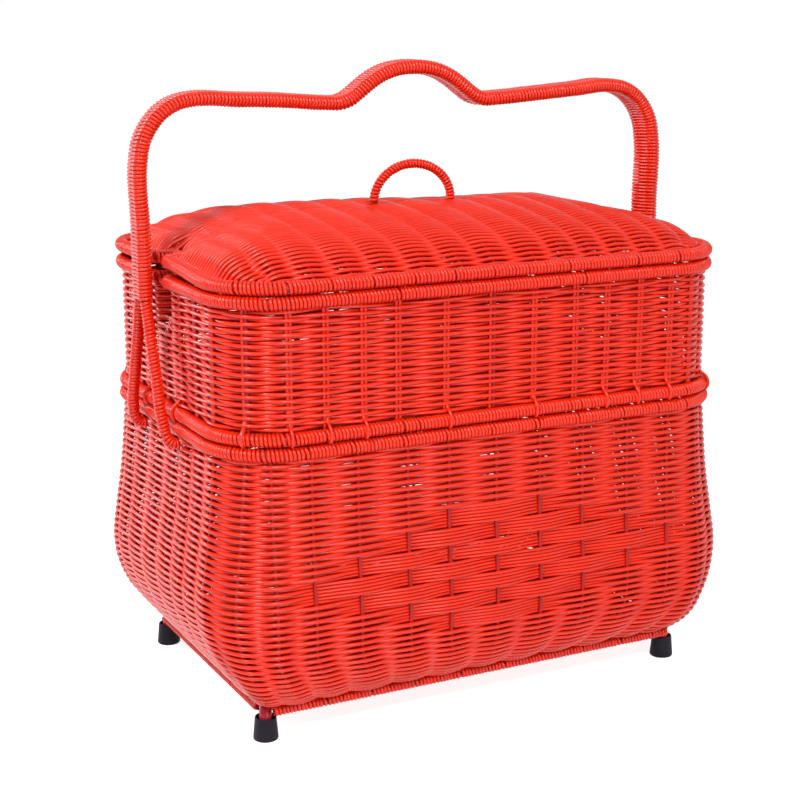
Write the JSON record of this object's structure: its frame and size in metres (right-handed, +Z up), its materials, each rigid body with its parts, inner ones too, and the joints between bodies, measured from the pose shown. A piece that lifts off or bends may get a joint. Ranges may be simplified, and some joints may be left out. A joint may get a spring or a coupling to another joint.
{
  "type": "woven picnic basket",
  "caption": "Two-tier woven picnic basket with a bellied base, a lift-out tray, a domed lid with a loop and a fixed arched carry handle.",
  "frame": {"origin": "middle of the bounding box, on the ground under the feet", "axes": "+X along the long side, -Y the front, +Z up"},
  "size_m": [0.4728, 0.3004, 0.5],
  "materials": {
    "rattan": "round red plastic rattan, satin gloss",
    "frame": "dark red painted steel rod",
    "rubber": "matt black rubber"
  },
  "bodies": {
    "lower_basket": {"lower_wall": "rattan", "lower_floor": "rattan", "lower_top_rim_rod": "frame", "lower_top_rim_binding": "rattan", "lower_cross_rod_1": "frame", "lower_cross_rod_2": "frame", "lower_cross_rod_3": "frame", "base_bar_front_rod": "frame", "base_bar_front_binding": "rattan", "base_bar_back_rod": "frame", "base_bar_back_binding": "rattan", "base_bar_left_rod": "frame", "base_bar_left_binding": "rattan", "base_bar_right_rod": "frame", "base_bar_right_binding": "rattan", "foot_front_left": "rubber", "leg_front_left": "frame", "lower_post_front_left": "frame", "foot_front_right": "rubber", "leg_front_right": "frame", "lower_post_front_right": "frame", "foot_back_left": "rubber", "leg_back_left": "frame", "lower_post_back_left": "frame", "foot_back_right": "rubber", "leg_back_right": "frame", "lower_post_back_right": "frame", "handle_binding": "rattan", "handle_rod_front": "frame", "handle_rod_rear": "frame", "leg_binding_front_left": "rattan", "leg_binding_front_right": "rattan", "leg_binding_rear_left": "rattan", "leg_binding_rear_right": "rattan"},
    "tray": {"tray_wall": "rattan", "tray_floor": "rattan", "tray_base_rim_rod": "frame", "tray_base_rim_binding": "rattan", "tray_top_rim_rod": "frame", "tray_top_rim_binding": "rattan", "tray_cross_rod_1": "frame", "tray_cross_rod_2": "frame", "tray_post_front_left": "frame", "tray_post_front_right": "frame", "tray_post_back_left": "frame", "tray_post_back_right": "frame"},
    "lid": {"lid_shell": "rattan", "lid_rim_rod": "frame", "lid_rim_binding": "rattan", "lid_rib_1": "frame", "lid_rib_2": "frame", "lid_rib_3": "frame", "lid_rib_4": "frame", "lid_rib_5": "frame", "lid_centre_bar": "frame", "lid_loop_rod": "frame", "lid_loop_binding": "rattan"}
  },
  "joints": [
    {"name": "tray_lift", "type": "slide", "parent": "lower_basket", "child": "tray", "axis": [0, 0, 1], "range_m": [0, 0.02]},
    {"name": "lid_lift", "type": "slide", "parent": "tray", "child": "lid", "axis": [0, 0, 1], "range_m": [0, 0.03]}
  ]
}
